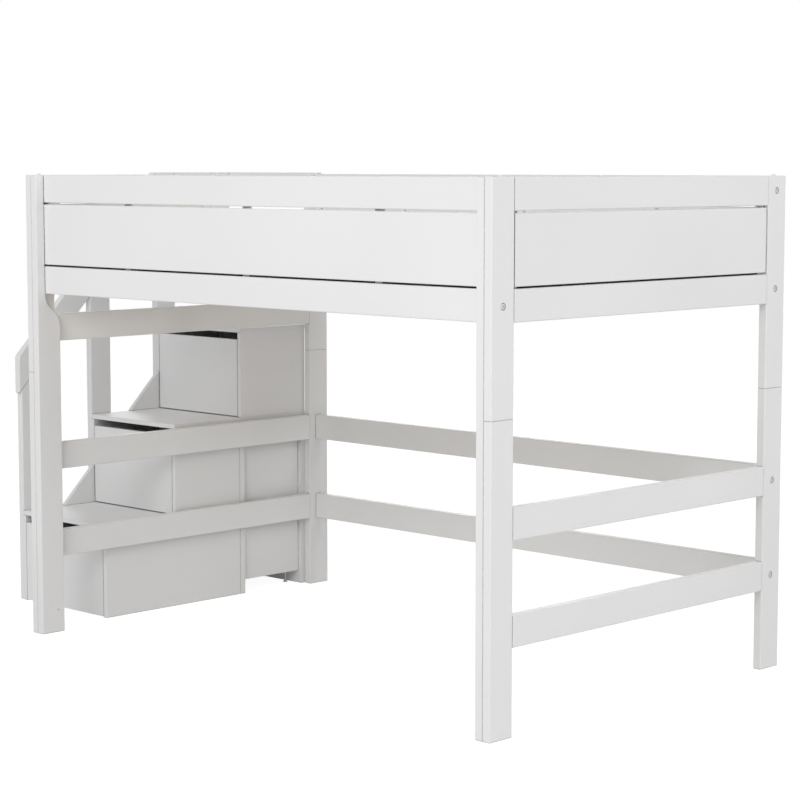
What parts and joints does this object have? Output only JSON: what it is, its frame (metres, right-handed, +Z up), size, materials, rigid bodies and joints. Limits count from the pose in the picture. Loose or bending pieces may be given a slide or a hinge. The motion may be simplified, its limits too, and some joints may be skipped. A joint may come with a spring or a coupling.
{
  "type": "loft bed",
  "caption": "White loft bed on tall legs with panelled guards, a slatted base and a staircase of boxes with drawers, a raked handrail and a guarded landing.",
  "frame": {"origin": "on the floor, under the middle of the whole bed with its staircase", "axes": "+X along the bed towards its foot end, away from the stairs; +Y from the open front to the back; +Z up"},
  "size_m": [2.573, 1.332, 1.525],
  "materials": {
    "lacquered_wood": "white satin lacquer",
    "lacquered_panel": "white satin lacquer",
    "lacquered_stair_board": "white satin lacquer",
    "bare_pine": "planed, unfinished",
    "beech_tongue": "planed, unfinished",
    "drawer_board": "white foil",
    "zinc_plate": "zinc plated",
    "runner_steel": "zinc plated",
    "dark_steel": "black satin",
    "white_plastic": "satin"
  },
  "bodies": {
    "root": {"back_leg_rails": "lacquered_wood", "back_lower_rail": "lacquered_wood", "back_panel": "lacquered_panel", "back_top_rail": "lacquered_wood", "beam_hangers": "zinc_plate", "centre_beam": "bare_pine", "entry_lower_rail": "lacquered_wood", "entry_panel": "lacquered_panel", "entry_post": "lacquered_wood", "entry_top_rail": "lacquered_wood", "foot_leg_rails": "lacquered_wood", "foot_lower_rail": "lacquered_wood", "foot_panel": "lacquered_panel", "foot_top_rail": "lacquered_wood", "front_lower_rail": "lacquered_wood", "front_panel": "lacquered_panel", "front_top_rail": "lacquered_wood", "handrail": "lacquered_wood", "insert_nuts": "zinc_plate", "landing_guard": "lacquered_wood", "landing_rail": "lacquered_wood", "leg_extensions": "lacquered_wood", "levelling_feet": "dark_steel", "loose_tongues": "beech_tongue", "panel_battens": "lacquered_wood", "post_plugs": "white_plastic", "rail_bolts": "zinc_plate", "railing_posts": "lacquered_wood", "rear_unit": "lacquered_stair_board", "runner_channels": "runner_steel", "slat_ledges": "bare_pine", "slats": "bare_pine", "stair_back_panel": "lacquered_stair_board", "stair_leg_rails": "lacquered_wood", "stair_spacers": "lacquered_wood", "step_1_sides": "lacquered_stair_board", "step_2_sides": "lacquered_stair_board", "step_3_sides": "lacquered_stair_board", "step_backs": "lacquered_stair_board", "support_leg_foot": "lacquered_wood", "support_leg_stair": "lacquered_wood", "tread_1": "lacquered_stair_board", "tread_2": "lacquered_stair_board", "tread_3": "lacquered_stair_board", "upper_post_foot_back": "lacquered_wood", "upper_post_foot_front": "lacquered_wood", "upper_post_stair_back": "lacquered_wood", "upper_post_stair_front": "lacquered_wood", "upstands": "lacquered_stair_board"},
    "drawer_1": {"drawer_1_front": "lacquered_stair_board", "drawer_1_box": "drawer_board", "drawer_1_slides": "runner_steel"},
    "drawer_2": {"drawer_2_front": "lacquered_stair_board", "drawer_2_box": "drawer_board", "drawer_2_slides": "runner_steel"},
    "drawer_3": {"drawer_3_front": "lacquered_stair_board", "drawer_3_box": "drawer_board", "drawer_3_slides": "runner_steel"}
  },
  "joints": [
    {"name": "drawer_1_slide", "type": "slide", "parent": "root", "child": "drawer_1", "axis": [0, -1, 0], "range_m": [0, 0.45]},
    {"name": "drawer_2_slide", "type": "slide", "parent": "root", "child": "drawer_2", "axis": [0, -1, 0], "range_m": [0, 0.22]},
    {"name": "drawer_3_slide", "type": "slide", "parent": "root", "child": "drawer_3", "axis": [0, -1, 0], "range_m": [0, 0.21]}
  ]
}
